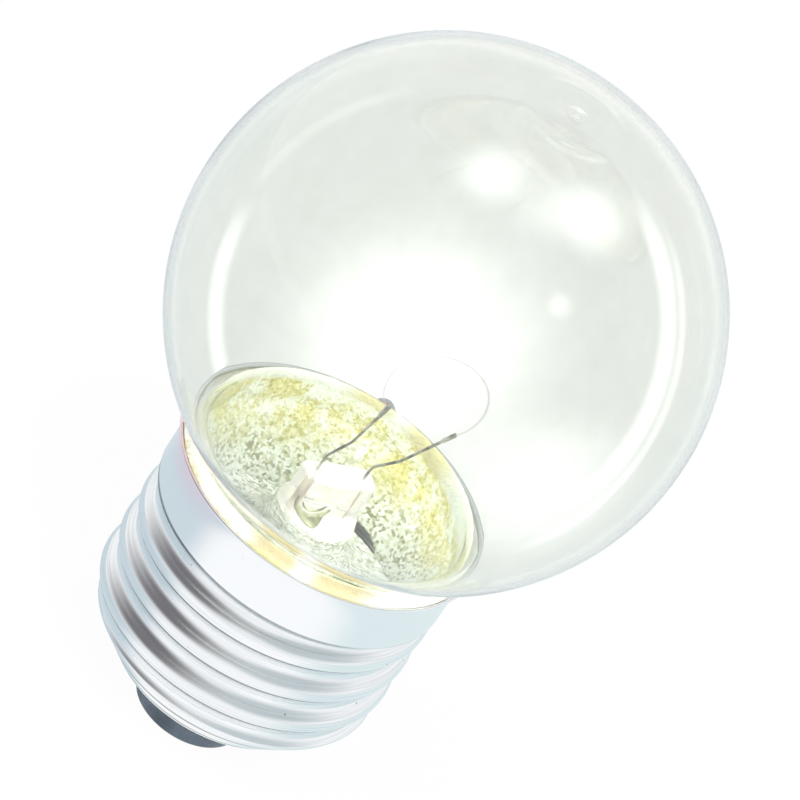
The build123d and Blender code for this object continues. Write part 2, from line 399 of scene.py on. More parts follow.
lip_glass, tree, shader = new_material(
    "blow hole lip glass", Roughness=0.08, IOR=1.5, Transmission_Weight=0.1)
smoke = add(tree, "ShaderNodeTexNoise", Vector=place_on_piece(tree), Scale=900.0, Detail=3.0)
smoke_tone = ramp(tree, smoke.outputs["Fac"], (0.38, (0.10, 0.11, 0.05)), (0.66, (0.46, 0.47, 0.30)))
fill(shader, Base_Color=smoke_tone)
let_lamps_through(lip_glass, (0.8, 0.82, 0.74))
lip = skinned("blow_hole_lip", lip_rings(1.75, 0.27, 172, 340))
placed("blow_hole_lip", lip, "stem_press", lip_glass)
lip_edge = skinned("blow_hole_edge", lip_rings(1.15, 0.12, 195, 350))
placed("blow_hole_edge", lip_edge, "stem_press", lip_glass)


def dress(nodes, material):
    """Gives nodes of the frame a finish."""
    for node in nodes:
        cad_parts[node].data.materials.clear()
        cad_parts[node].data.materials.append(material)


dress(("exhaust_tube",), press_glass)


# Leads, seal wires and fuse
# Nickel wire above the press, copper-clad wire through the glass and below it, and a hair-thin fuse.
# The seal wires are borated, which leaves them paler and pinkish inside the glass.
def new_tree(name, kind, inputs, outputs):
    """A node group with sockets by name and kind, what it is given, and the node that takes its results."""
    tree = bpy.data.node_groups.new(name, kind)
    for in_out, sockets in (("INPUT", inputs), ("OUTPUT", outputs)):
        for socket, sort in sockets.items():
            tree.interface.new_socket(socket, in_out=in_out, socket_type="NodeSocket" + sort)
    return tree, tree.nodes.new("NodeGroupInput").outputs, tree.nodes.new("NodeGroupOutput")


def between(tree, value, low, high, interpolation="SMOOTHSTEP"):
    """A share that goes from nothing at one value to all at another."""
    made = add(
        tree, "ShaderNodeMapRange", interpolation_type=interpolation, Value=value, From_Min=low, From_Max=high)
    return made.outputs["Result"]


def mixed(tree, share, first, second):
    """A colour between two, by the second's share."""
    return add(tree, "ShaderNodeMixRGB", share, first, second).outputs["Color"]


def patchy_group():
    """A shader group that gives a colour in patches between two colours, with the patches as a mask."""
    inputs = {"Scale": "Float", "Dark": "Color", "Light": "Color"}
    outputs = {"Color": "Color", "Mask": "Float"}
    tree, given, result = new_tree("patchy colour", "ShaderNodeTree", inputs, outputs)
    patches = add(tree, "ShaderNodeTexNoise", Vector=place_on_piece(tree), Scale=given["Scale"], Detail=5.0)
    mask = between(tree, patches.outputs["Fac"], 0.36, 0.64)
    fill(result, Color=mixed(tree, mask, given["Dark"], given["Light"]), Mask=mask)
    return tree


patchy = patchy_group()


def patchy_material(name, scale, dark, light, **values):
    """A material whose colour comes in patches between two colours."""
    material, tree, shader = new_material(name, **values)
    group = add(tree, "ShaderNodeGroup", node_tree=patchy, Scale=scale, Dark=(*dark, 1), Light=(*light, 1))
    fill(shader, Base_Color=group.outputs["Color"])
    return material


nickel = patchy_material(
    "nickel wire", 700.0, (0.22, 0.22, 0.21), (0.74, 0.73, 0.70), Metallic=1.0, Roughness=0.36)
borated = patchy_material(
    "borated seal wire", 700.0, (0.78, 0.62, 0.57), (0.95, 0.85, 0.80), Metallic=1.0, Roughness=0.3)
copper_clad = patchy_material(
    "copper clad wire", 900.0, (0.40, 0.20, 0.13), (0.72, 0.40, 0.26), Metallic=1.0, Roughness=0.38)
dress(("inner_lead_left", "inner_lead_right", "fuse_link"), nickel)
dress(("seal_wire_left", "seal_wire_right"), borated)
dress(("outer_lead_contact", "outer_lead_shell"), copper_clad)


# Filament
# Tungsten wire wound in a fine coil, arched from one lead's clamp to the other.
# Each end of the coil is gripped a little way inside its clamp.
left_tip = Vector((0.3, -0.6, press_top + 8.6))
right_tip = Vector((6.1, 1.25, press_top + 8.6))
left_run = Vector((0.95, 0.4, 4.7)).normalized()
right_run = Vector((2.6, -0.05, 5.3)).normalized()
filament_grip = 0.35
filament_arch = 7.0
coil_radius = 0.09
coil_wire = 0.022
coil_turns = 110
coil_points_a_turn = 14


def worked_out(tree, operation, *terms):
    """The outcome of a sum in a tree, whose terms are numbers or outputs of other nodes."""
    return add(tree, "ShaderNodeMath", *terms, operation=operation).outputs["Value"]


def finished_mesh(tree, geometry, metal):
    """The plain geometry with its material, which ends a tree."""
    whole = add(tree, "GeometryNodeRealizeInstances", Geometry=geometry).outputs["Geometry"]
    return add(tree, "GeometryNodeSetMaterial", Geometry=whole, Material=metal).outputs["Geometry"]


def coil_tree():
    """Geometry nodes that wind a wire in a coil along an arch."""
    sizes = ("Arch Radius", "Coil Radius", "Wire Radius", "Turns", "First Angle", "Last Angle")
    inputs = {"Start": "Geometry"}
    inputs.update(dict.fromkeys(("Middle", "Along", "Upwards", "Sideways"), "Vector"))
    inputs.update(dict.fromkeys(sizes, "Float"))
    inputs["Metal"] = "Material"
    tree, given, result = new_tree("wound coil", "GeometryNodeTree", inputs, {"Coil": "Geometry"})
    calc = partial(worked_out, tree)

    def scaled(vector, amount):
        return add(tree, "ShaderNodeVectorMath", vector, operation="SCALE", Scale=amount).outputs["Vector"]

    def summed(first, second):
        return add(tree, "ShaderNodeVectorMath", first, second, operation="ADD").outputs["Vector"]

    line = add(tree, "GeometryNodeCurvePrimitiveLine").outputs["Curve"]
    fine = add(tree, "GeometryNodeResampleCurve", Curve=line, Count=coil_points_a_turn * coil_turns)
    share = add(tree, "GeometryNodeSplineParameter").outputs["Factor"]
    coil_radius = given["Coil Radius"]
    spread = calc("SUBTRACT", given["Last Angle"], given["First Angle"])
    angle = calc("ADD", given["First Angle"], calc("MULTIPLY", share, spread))
    wound = calc("MULTIPLY", calc("MULTIPLY", share, given["Turns"]), 2 * math.pi)
    reach = calc("ADD", given["Arch Radius"], calc("MULTIPLY", coil_radius, calc("COSINE", wound)))
    along = scaled(given["Along"], calc("MULTIPLY", reach, calc("COSINE", angle)))
    upwards = scaled(given["Upwards"], calc("MULTIPLY", reach, calc("SINE", angle)))
    sideways = scaled(given["Sideways"], calc("MULTIPLY", coil_radius, calc("SINE", wound)))
    place = summed(summed(given["Middle"], along), summed(upwards, sideways))
    settle = add(tree, "GeometryNodeSetPosition", Geometry=fine.outputs["Curve"], Position=place)
    section = add(tree, "GeometryNodeCurvePrimitiveCircle", Resolution=6, Radius=given["Wire Radius"])
    drawn = add(
        tree, "GeometryNodeCurveToMesh", Curve=settle.outputs["Geometry"],
        Profile_Curve=section.outputs["Curve"], Fill_Caps=True)
    fill(result, Coil=finished_mesh(tree, drawn.outputs["Mesh"], given["Metal"]))
    return tree


def grown(name, mesh, tree, inputs):
    """The plain mesh that a tree of geometry nodes makes of a mesh."""
    carrier = bpy.data.objects.new(name, mesh)
    bpy.context.scene.collection.objects.link(carrier)
    modifier = carrier.modifiers.new(name, "NODES")
    modifier.node_group = tree
    for item in tree.interface.items_tree:
        if item.in_out == "INPUT" and item.name in inputs:
            modifier[item.identifier] = inputs[item.name]
    made = carrier.evaluated_get(bpy.context.evaluated_depsgraph_get())
    result = bpy.data.meshes.new_from_object(made)
    result.name = name
    carrier.modifiers.remove(modifier)
    bpy.data.objects.remove(carrier)
    return result


# The wire's tone is far paler than bare tungsten: a painted highlight that washes the coil out.
tungsten = patchy_material(
    "tungsten wire", 900.0, (0.86, 0.86, 0.87), (0.97, 0.97, 0.98), Metallic=1.0, Roughness=0.4)
first = left_tip - left_run * filament_grip
last = right_tip - right_run * filament_grip
apex = (left_tip + right_tip) / 2 + Vector((0, 0, filament_arch))
sideways = (apex - first).cross(last - first).normalized()
rise, span = apex - first, last - first
face = rise.cross(span)
to_middle = face.cross(rise) * span.length_squared + span.cross(face) * rise.length_squared
arch_middle = first + to_middle / (2 * face.length_squared)
along = (first - arch_middle).normalized()
upwards = sideways.cross(along)
if (apex - arch_middle).dot(upwards) < 0:
    upwards = -upwards
arch_radius = (first - arch_middle).length
last_angle = math.atan2((last - arch_middle).dot(upwards), (last - arch_middle).dot(along))
if last_angle <= 0:
    last_angle += 2 * math.pi
coil = grown("filament_coil", bpy.data.meshes.new("coil start"), coil_tree(), {
    "Middle": arch_middle * MM,
    "Along": along,
    "Upwards": upwards,
    "Sideways": sideways,
    "Arch Radius": arch_radius * MM,
    "Coil Radius": coil_radius * MM,
    "Wire Radius": coil_wire * MM,
    "Turns": float(coil_turns),
    "First Angle": 0.0,
    "Last Angle": last_angle,
    "Metal": tungsten,
})
placed("filament_coil", coil, "filament", tungsten)


# Capping cement
# A ring of grainy yellow cement, pressed between the skirt and the neck, drawn up the glass and baked hard.
# It is crumbled at its lower edge, and its wiped rim above the skirt is paler than what the glass covers.
shell_low, shell_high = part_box("cap_shell")
rim_height = shell_high.z / MM
rim_radius = shell_high.x / MM
sheet = 0.3
skirt_radius = 13.2
skirt_bottom = rim_height - 5.3
flare_height = 2.8
cement_gap = 0.03
cement_grain = 0.14
cement_low = 16.9
cement_crumble = 1.9
cement_gap_angle = 66.0
cement_gap_width = 19.0
cement_inside_thread = 11.7
cement_drawn_up = 28.28
cement_below_rim = 0.16
cement_lump = 3.0
cement_grit = 0.45
brim_sag = 0.10
brim_grain = 0.07
brim_grit = 0.5
cement_around = 280


def inside_skirt(height):
    """The shell's inner radius at a height on the skirt."""
    inner = skirt_radius - sheet
    reach = rim_radius - skirt_radius
    curve = (flare_height ** 2 + reach ** 2) / (2 * reach)
    above = max(0.0, height - (rim_height - flare_height))
    return inner + curve - math.sqrt(curve ** 2 - above ** 2)


def beside_glass(height):
    """The neck's outer radius at a height."""
    if height > neck_top:
        return neck_radius + neck_fillet - math.sqrt(neck_fillet ** 2 - (height - neck_top) ** 2)
    if height > neck_bottom:
        return neck_radius
    share = (height - seal_top) / (neck_bottom - seal_top)
    end = seal_radius + glass_wall
    return end + (neck_radius - end) * share


def cement_outline(angle):
    """The ring's outline at an angle: down beside the shell, up beside the glass and out over the rim."""
    x, y = math.cos(angle), math.sin(angle)
    ragged = 0.5 + 0.5 * uneven((12 * x, 12 * y, 0), cement_lump)
    off = abs(math.degrees(math.atan2(y, x)) - cement_gap_angle) / cement_gap_width
    broken = max(0.0, 1 - off * off) * (0.75 + 0.25 * ragged)
    bottom = cement_low + 0.3 * ragged + cement_crumble * broken
    top = rim_height - cement_below_rim
    points = []
    for step in range(9):
        height = top + (skirt_bottom + 0.1 - top) * step / 8
        points.append((inside_skirt(height) - cement_gap, height))
    for step in range(5):
        height = skirt_bottom - 0.4 + (bottom + 0.3 - skirt_bottom + 0.4) * step / 4
        points.append((cement_inside_thread, height))
    inner_steps = 44
    for step in range(inner_steps + 1):
        height = bottom + (cement_drawn_up - bottom) * step / inner_steps
        radius = beside_glass(height) + cement_gap
        rough = 0.5 + 0.5 * uneven((radius * x, radius * y, height), cement_grit)
        points.append((radius + cement_grain * rough * rough, height))
    start = points[-1]
    end = points[0]
    for step in range(1, 7):
        share = step / 7
        radius = start[0] + (end[0] - start[0]) * share
        height = start[1] + (end[1] - start[1]) * share
        sag = brim_sag * math.sin(math.pi * share)
        rough = brim_grain * uneven((radius * x, radius * y, height), brim_grit)
        points.append((radius - sag, height - sag + rough))
    return points


outlines = [cement_outline(2 * math.pi * step / cement_around) for step in range(cement_around)]
rings = []
for place in range(len(outlines[0])):
    ring = []
    for step, outline in enumerate(outlines):
        angle = 2 * math.pi * step / cement_around
        radius, height = outline[place]
        ring.append((radius * math.cos(angle), radius * math.sin(angle), height))
    rings.append(ring)
wiped_cream = (0.86, 0.85, 0.79)
wiped_yellow = (0.68, 0.60, 0.36)
pale_patch = (0.98, 0.98, 0.90, 1)
crazed_from = 0.0258
crazed_to = 0.0190
crazed_ragged = 0.010
wiped_slant = 0.12
smear_spread = 0.0024
smear_left = -0.0050
smear_right = 0.0110
cement, tree, shader = new_material("capping cement", Roughness=0.8)
calc = partial(worked_out, tree)
where = place_on_piece(tree)
parts = add(tree, "ShaderNodeSeparateXYZ", where).outputs
grit = add(tree, "ShaderNodeTexNoise", Vector=where, Scale=2400.0, Detail=6.0, Roughness=0.75)
grains = grit.outputs["Fac"]
grain_tone = ramp(tree, grains, (0.34, (0.50, 0.40, 0.05)), (0.64, (1.0, 0.93, 0.50)))
patches = add(tree, "ShaderNodeTexNoise", Vector=where, Scale=300.0, Detail=8.0, Roughness=0.8).outputs["Fac"]
mottled = mixed(tree, between(tree, patches, 0.46, 0.60), grain_tone, pale_patch)
crazing_tone = ramp(
    tree, flake_share(tree, where, 3400.0),
    (0.05, (0.30, 0.29, 0.15)), (0.40, (0.78, 0.77, 0.58)), (0.72, (1.0, 1.0, 0.97)))
ragged_height = calc("ADD", calc("MULTIPLY_ADD", patches, -crazed_ragged, parts["Z"]), crazed_ragged / 2)
crazed = mixed(tree, between(tree, ragged_height, crazed_from, crazed_to), mottled, crazing_tone)
wiped_height = calc("MULTIPLY_ADD", calc("MAXIMUM", parts["X"], 0.0), wiped_slant, parts["Z"])
wiped = between(tree, wiped_height, (rim_height - 0.35) * MM, (rim_height + 0.25) * MM)
smears = add(tree, "ShaderNodeTexNoise", Vector=where, Scale=260.0, Detail=3.0).outputs["Fac"]
smear_place = calc("MULTIPLY_ADD", smears, smear_spread, parts["X"])
smear_tone = ramp(
    tree, between(tree, smear_place, smear_left, smear_right, "LINEAR"),
    (0.10, wiped_cream), (0.28, wiped_yellow), (0.40, wiped_yellow), (0.50, wiped_cream),
    (0.62, wiped_yellow), (0.76, wiped_yellow), (0.96, wiped_cream), interpolation="EASE")
fill(shader, Base_Color=mixed(tree, wiped, crazed, smear_tone), Normal=dented(tree, grains, 0.9, 0.0003))
placed("cement_ring", skinned("cement_ring", rings), "capping_cement", cement)


# Screw shell
# A cup drawn from thin bright aluminium, with a flared skirt, a rounded shoulder and a right-hand thread.
# The rollers leave fine lines along the thread, and painted shade draws thin dark lines in the lee of each
# crest, under the skirt's edge and just above the lip.
shoulder_radius = 3.9
shoulder_angle = 43.0
shoulder_top = 11.2
lip_height = shell_low.z / MM
thread_radius = 13.15
thread_depth = 1.05
thread_pitch = 3.629
crest_at_front = 15.4
thread_blend = 0.25


def shell_outline(inset, thread_steps):
    """One skin of the shell before the thread is rolled, from the lip up to the rim."""
    axis = skirt_radius - shoulder_radius
    slope = math.radians(shoulder_angle)
    curve = arc((axis, shoulder_top), shoulder_radius - inset, -shoulder_angle, 0, 24)
    cone_start = curve[0]
    lip = (cone_start[0] - (cone_start[1] - lip_height) * math.tan(slope), lip_height)
    skirt = skirt_radius - inset
    rim = rim_radius - inset
    flare_start = rim_height - flare_height
    reach = rim - skirt
    curve_radius = (flare_height ** 2 + reach ** 2) / (2 * reach)
    flare_turn = math.degrees(math.asin(flare_height / curve_radius))
    points = [lip] + straight(lip, cone_start, 20) + curve[1:]
    points += straight(points[-1], (skirt, flare_start), thread_steps)
    points += arc((skirt + curve_radius, flare_start), curve_radius, 180, 180 - flare_turn, 12)[1:]
    return points


def rolled_thread_tree():
    """Geometry nodes that roll a rounded right-hand thread into a turned blank and note the place on it."""
    names = ("Crest Radius", "Depth", "Pitch", "Crest At Front", "Skirt Radius", "Skirt Bottom", "Blend")
    inputs = {"Blank": "Geometry", **dict.fromkeys(names, "Float"), "Metal": "Material"}
    tree, given, result = new_tree("rolled thread", "GeometryNodeTree", inputs, {"Shell": "Geometry"})
    calc = partial(worked_out, tree)
    position = add(tree, "GeometryNodeInputPosition").outputs["Position"]
    across, behind, height = add(tree, "ShaderNodeSeparateXYZ", position).outputs
    inset = add(tree, "GeometryNodeInputNamedAttribute", data_type="FLOAT", Name="inset").outputs["Attribute"]
    pitch = given["Pitch"]
    depth = given["Depth"]
    blend = given["Blend"]
    radius = calc("SQRT", calc("ADD", calc("MULTIPLY", across, across), calc("MULTIPLY", behind, behind)))
    angle = calc("ARCTAN2", across, calc("MULTIPLY", behind, -1))
    climbed = calc("DIVIDE", calc("SUBTRACT", height, given["Crest At Front"]), pitch)
    turns = calc("SUBTRACT", climbed, calc("DIVIDE", angle, 2 * math.pi))
    over_crest = calc("MULTIPLY", calc("SUBTRACT", turns, calc("ROUND", turns)), pitch)
    from_crest = calc("ABSOLUTE", over_crest)
    half_pitch = calc("MULTIPLY", pitch, 0.5)
    quarter = calc("MULTIPLY", pitch, 0.25)
    half_depth = calc("MULTIPLY", depth, 0.5)
    chord = calc("ADD", calc("MULTIPLY", quarter, quarter), calc("MULTIPLY", half_depth, half_depth))
    round_radius = calc("DIVIDE", chord, depth)
    nearest = calc("MINIMUM", from_crest, calc("SUBTRACT", half_pitch, from_crest))
    round_square = calc("MULTIPLY", round_radius, round_radius)
    squares = calc("SUBTRACT", round_square, calc("MULTIPLY", nearest, nearest))
    sag = calc("SUBTRACT", round_radius, calc("SQRT", squares))
    in_groove = calc("GREATER_THAN", from_crest, quarter)
    flip = calc("SUBTRACT", 1.0, calc("MULTIPLY", in_groove, 2.0))
    drop = calc("ADD", calc("MULTIPLY", in_groove, depth), calc("MULTIPLY", sag, flip))
    thread = calc("SUBTRACT", calc("SUBTRACT", given["Crest Radius"], drop), inset)
    trimmed = calc("SMOOTH_MIN", thread, radius, blend)
    below_skirt = calc("MAXIMUM", calc("SUBTRACT", given["Skirt Bottom"], height), 0.0)
    collar = calc("SUBTRACT", calc("SUBTRACT", given["Skirt Radius"], below_skirt), inset)
    rolled = calc("SMOOTH_MAX", trimmed, calc("MINIMUM", collar, radius), blend)
    on_skirt = calc("GREATER_THAN", height, given["Skirt Bottom"])
    threaded = calc("MULTIPLY", calc("SUBTRACT", 1.0, on_skirt), rolled)
    share = calc("DIVIDE", calc("ADD", calc("MULTIPLY", on_skirt, radius), threaded), radius)
    moved_across = calc("MULTIPLY", across, share)
    moved_behind = calc("MULTIPLY", behind, share)
    moved = add(tree, "ShaderNodeCombineXYZ", moved_across, moved_behind, height)
    noted = add(tree, "ShaderNodeCombineXYZ", angle, calc("MULTIPLY", over_crest, 1 / MM), turns)
    note = add(
        tree, "GeometryNodeStoreNamedAttribute", data_type="FLOAT_VECTOR",
        Geometry=given["Blank"], Name="rolled", Value=noted.outputs["Vector"])
    settle = add(
        tree, "GeometryNodeSetPosition", Geometry=note.outputs["Geometry"], Position=moved.outputs["Vector"])
    fill(result, Shell=finished_mesh(tree, settle.outputs["Geometry"], given["Metal"]))
    return tree


black = (0, 0, 0)
white = (1, 1, 1)
skirt_metal = (0.885, 0.905, 0.925, 1)
# Colour of the painted shade: thin dark lines along the thread.
painted_shade_colour = (0.12, 0.17, 0.19, 1)
speck_colour = (0.10, 0.10, 0.11, 1)
# The tint of a painted reflection on the skirt.
rosy_reflection_colour = (0.97, 0.74, 0.82, 1)
aluminium, tree, shader = new_material("bright rolled aluminium", Metallic=1.0, Roughness=0.19)
calc = partial(worked_out, tree)
where = place_on_piece(tree)
body = add(tree, "ShaderNodeSeparateXYZ", where).outputs
rolled = add(tree, "ShaderNodeAttribute", attribute_name="rolled").outputs["Vector"]
stretch = add(tree, "ShaderNodeVectorMath", rolled, (1.2, 9.0, 0.35), operation="MULTIPLY").outputs["Vector"]
lines = add(tree, "ShaderNodeTexNoise", Vector=stretch, Scale=1.0, Detail=5.0, Roughness=0.7).outputs["Fac"]
line_tone = ramp(tree, lines, (0.30, (0.70, 0.735, 0.765)), (0.60, (0.91, 0.93, 0.945)))
below_skirt = between(tree, body["Z"], (skirt_bottom + 0.1) * MM, (skirt_bottom - 0.3) * MM, "LINEAR")
skirt_tone = mixed(tree, below_skirt, skirt_metal, line_tone)
over_crest = add(tree, "ShaderNodeSeparateXYZ", rolled).outputs["Y"]
# Painted shade: a thin dark line where each crest turns its lower flank away, and others at the skirt's lower
# edge and just above the lip.
lee_place = between(tree, over_crest, -1.05, -0.30, "LINEAR")
lee = ramp(tree, lee_place, (0.0, black), (0.2, white), (0.60, white), (0.85, black))
edge_place = between(tree, body["Z"], lip_height * MM, (skirt_bottom + 0.05) * MM, "LINEAR")
edge_line = ramp(
    tree, edge_place, (0.0, black), (0.012, black), (0.024, white), (0.034, white), (0.046, black),
    (0.93, black), (0.965, white), (0.99, white), (1.0, black))
painted_shade_lines = calc("MAXIMUM", calc("MULTIPLY", lee, below_skirt), edge_line)
shade_lined_tone = mixed(tree, painted_shade_lines, skirt_tone, painted_shade_colour)
specks = add(tree, "ShaderNodeTexVoronoi", Vector=where, Scale=560.0, Randomness=1.0).outputs["Distance"]
speckled = mixed(tree, ramp(tree, specks, (0.03, white), (0.055, black)), shade_lined_tone, speck_colour)
# Painted reflection: a rosy tint on the skirt's upper left front, just under the rim.
rosy_up = between(tree, body["Z"], (rim_height - 3.4) * MM, rim_height * MM)
rosy_left = between(tree, body["X"], -4 * MM, -12 * MM)
rosy_front = between(tree, body["Y"], 2 * MM, -5 * MM)
rosy_reflected_tone = mixed(tree, calc("MULTIPLY", rosy_up, calc("MULTIPLY", rosy_left, rosy_front)), speckled, rosy_reflection_colour)
fill(shader, Base_Color=rosy_reflected_tone, Normal=dented(tree, lines, 0.02, 0.0002))

shell_around = 288
outer_skin = shell_outline(0.0, 150)
inner_skin = shell_outline(sheet, 70)
blank = turned("screw_shell_blank", outer_skin + inner_skin[::-1], shell_around)
skin = blank.attributes.new("inset", "FLOAT", "POINT")
outer_count = len(outer_skin) * shell_around
skin.data.foreach_set("value", [0.0] * outer_count + [sheet * MM] * (len(blank.vertices) - outer_count))
screw_shell = grown("screw_shell", blank, rolled_thread_tree(), {
    "Crest Radius": thread_radius * MM,
    "Depth": thread_depth * MM,
    "Pitch": thread_pitch * MM,
    "Crest At Front": crest_at_front * MM,
    "Skirt Radius": skirt_radius * MM,
    "Skirt Bottom": skirt_bottom * MM,
    "Blend": thread_blend * MM,
    "Metal": aluminium,
})
placed("screw_shell", screw_shell, "cap_shell", aluminium)


# Insulator
# A button of dark glass, moulded into the shell's lip while molten, with the contact plate bedded in it.
# Its side is hollowed between the lip and the rounded foot.
insulator_low, insulator_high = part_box("insulator")
insulator_top = insulator_high.z / MM
insulator_bottom = insulator_low.z / MM
plug_radius = 9.6
plug_bulge_radius = 10.0
lip_radius = 9.2
hollow_radius = 4.2
foot_radius = 4.6
foot_edge = 0.3
flat_radius = 4.3
insulator_outline = [
    (0, insulator_top), (plug_radius, insulator_top), (plug_bulge_radius, lip_height + 1.0),
    (lip_radius - 0.35, lip_height + 0.02)]
insulator_outline += arc((lip_radius, insulator_bottom + 2 * foot_edge), hollow_radius, 97, 178, 24)
insulator_outline += arc((foot_radius, insulator_bottom + foot_edge), foot_edge, 0, -90, 6)
insulator_outline += [(flat_radius, insulator_bottom), (0, insulator_bottom)]
dark_glass = patchy_material(
    "dark moulded glass", 240.0, (0.03, 0.045, 0.065), (0.075, 0.105, 0.14), Roughness=0.22)
button = turned("insulator_button", insulator_outline, 160)
placed("insulator_button", button, "insulator", dark_glass)


# Contact plate and solder
# A stamped brass plate with an eyelet, and tin solder run in over the lead's end and over the side lead.
# The brass is dulled in patches by the heat of soldering.
brass = patchy_material(
    "stamped brass", 400.0, (0.55, 0.40, 0.16), (0.83, 0.66, 0.34), Metallic=1.0, Roughness=0.35)
solder = patchy_material(
    "tin solder", 700.0, (0.48, 0.48, 0.50), (0.68, 0.69, 0.70), Metallic=1.0, Roughness=0.38)
dress(("contact_plate",), brass)
dress(("contact_solder", "side_solder"), solder)


# Studio
# A pale floor and a white surround, which hold the bulb's soft shadow.
def stage_mesh(name, points, faces, material):
    """A card or floor that isn't part of the bulb."""
    mesh = bpy.data.meshes.new(name)
    mesh.from_pydata(points, [], faces)
    mesh.materials.append(material)
    card = bpy.data.objects.new(name, mesh)
    bpy.context.scene.collection.objects.link(card)
    return card


def bare_tree(owner):
    """The emptied node tree of a material or a world."""
    owner.use_nodes = True
    owner.node_tree.nodes.clear()
    return owner.node_tree


def shown_white(tree):
    """A factor of one for rays from the camera, from a reflection or through glass."""
    path = add(tree, "ShaderNodeLightPath").outputs
    not_through = worked_out(tree, "MAXIMUM", path["Is Camera Ray"], path["Is Glossy Ray"])
    return worked_out(tree, "MAXIMUM", not_through, path["Is Transmission Ray"])


floor_half = 3.0
floor_shadow = 0.05
floor_material = bpy.data.materials.new("pale floor")
tree = bare_tree(floor_material)
paper = add(tree, "ShaderNodeBsdfDiffuse", Color=(0.85, 0.85, 0.85, 1)).outputs["BSDF"]
glow = add(tree, "ShaderNodeEmission", Strength=1.0).outputs["Emission"]
seen = add(tree, "ShaderNodeMixShader", floor_shadow, glow, paper).outputs["Shader"]
choice = add(tree, "ShaderNodeMixShader", shown_white(tree), paper, seen)
add(tree, "ShaderNodeOutputMaterial", Surface=choice.outputs["Shader"])
floor_corners = [(x * floor_half, y * floor_half, 0) for x, y in ((-1, -1), (1, -1), (1, 1), (-1, 1))]
stage_mesh("floor", floor_corners, [(0, 1, 2, 3)], floor_material)

world = bpy.data.worlds.new("white surround")
bpy.context.scene.world = world
tree = bare_tree(world)
ambient = add(tree, "ShaderNodeBackground", Color=(1, 1, 1, 1), Strength=0.55).outputs["Background"]
surround = add(tree, "ShaderNodeBackground", Color=(1, 1, 1, 1), Strength=1.0).outputs["Background"]
choice = add(tree, "ShaderNodeMixShader", shown_white(tree), ambient, surround)
add(tree, "ShaderNodeOutputWorld", Surface=choice.outputs["Shader"])


# Camera
# It looks down on the bulb, which leans to the right with its globe a little off the picture's middle.
globe_middle = Vector((0, 0, globe_height * MM))
globe_seen = Vector((3.73, 6.95, -800.0)) * MM
lean = math.radians(33.45)
lift = math.radians(34.6)
up_seen = Vector((math.sin(lean) * math.cos(lift), math.cos(lean) * math.cos(lift), math.sin(lift)))
to_camera = -globe_seen.normalized()
back_seen = -(to_camera - up_seen * to_camera.dot(up_seen)).normalized()
across_seen = back_seen.cross(up_seen)
turn = Matrix((across_seen, back_seen, up_seen))
camera_data = bpy.data.cameras.new("camera")
camera_data.sensor_width = 36.0
camera_data.lens = 445.94
camera_data.clip_end = 20.0
camera = bpy.data.objects.new("camera", camera_data)
bpy.context.scene.collection.objects.link(camera)
camera.matrix_world = Matrix.Translation(globe_middle - turn @ globe_seen) @ turn.to_4x4()
bpy.context.scene.camera = camera
bpy.context.scene.view_settings.view_transform = "Standard"


# Cards and lamps
# Pale pools on the floor behind the bulb show only through the globe, and cards show only in the metal.
# The lamps only light: they show neither to the camera nor in glass or metal.
def card_material(name, shown_by):
    """A clear card that dims or adds to what is behind it, in metal or through the globe's two walls."""
    material = bpy.data.materials.new(name)
    tree = bare_tree(material)
    calc = partial(worked_out, tree)
    path = add(tree, "ShaderNodeLightPath").outputs
    unscattered = calc("LESS_THAN", path["Diffuse Depth"], 0.5)
    walls = calc("GREATER_THAN" if shown_by == "glass" else "LESS_THAN", path["Transmission Depth"], 2.5)
    tint = add(tree, "ShaderNodeAttribute", attribute_name="tint").outputs["Vector"]
    colour = mixed(tree, calc("MULTIPLY", unscattered, walls), (1, 1, 1, 1), tint)
    dimmed = add(tree, "ShaderNodeVectorMath", colour, white, operation="MINIMUM").outputs["Vector"]
    over_white = add(tree, "ShaderNodeVectorMath", colour, white, operation="SUBTRACT").outputs["Vector"]
    added = add(tree, "ShaderNodeVectorMath", over_white, black, operation="MAXIMUM").outputs["Vector"]
    clear = add(tree, "ShaderNodeBsdfTransparent", Color=dimmed).outputs["BSDF"]
    glow = add(tree, "ShaderNodeEmission", Color=added).outputs["Emission"]
    both = add(tree, "ShaderNodeAddShader", clear, glow).outputs["Shader"]
    add(tree, "ShaderNodeOutputMaterial", Surface=both)
    return material


def grid_card(name, rows, shown_by):
    """A card through rows of points and tints, shown only by glass or only by metal."""
    width = len(rows[0])
    points = [point for row in rows for point, tint in row]
    faces = []
    for row in range(len(rows) - 1):
        for place in range(width - 1):
            corner = row * width + place
            faces.append((corner, corner + 1, corner + width + 1, corner + width))
    card = stage_mesh(name, points, faces, card_material(name, shown_by))
    tints = card.data.attributes.new("tint", "FLOAT_VECTOR", "POINT")
    tints.data.foreach_set("vector", [value for row in rows for point, tint in row for value in tint])
    card.visible_camera = False
    card.visible_diffuse = False
    card.visible_shadow = False
    card.visible_glossy = shown_by == "metal"
    card.visible_transmission = shown_by == "glass"
    return card


def tinted(level, fade):
    """A colour between the surround's white and a card's own level."""
    return tuple(1 + (value - 1) * fade for value in level)


def round_card(name, shown_by, level, core, sharpness, laid):
    """A round card that fades from its core to its edge, with points laid by share of reach and angle."""
    rows = []
    for ring in range(13):
        share = ring / 12
        tint = tinted(level, eased((1 - share) / (1 - core)) ** sharpness)
        rows.append([(laid(share, 2 * math.pi * step / 40), tint) for step in range(41)])
    return grid_card(name, rows, shown_by)


pool_lift = 0.0006
pool_sharpness = 1.6


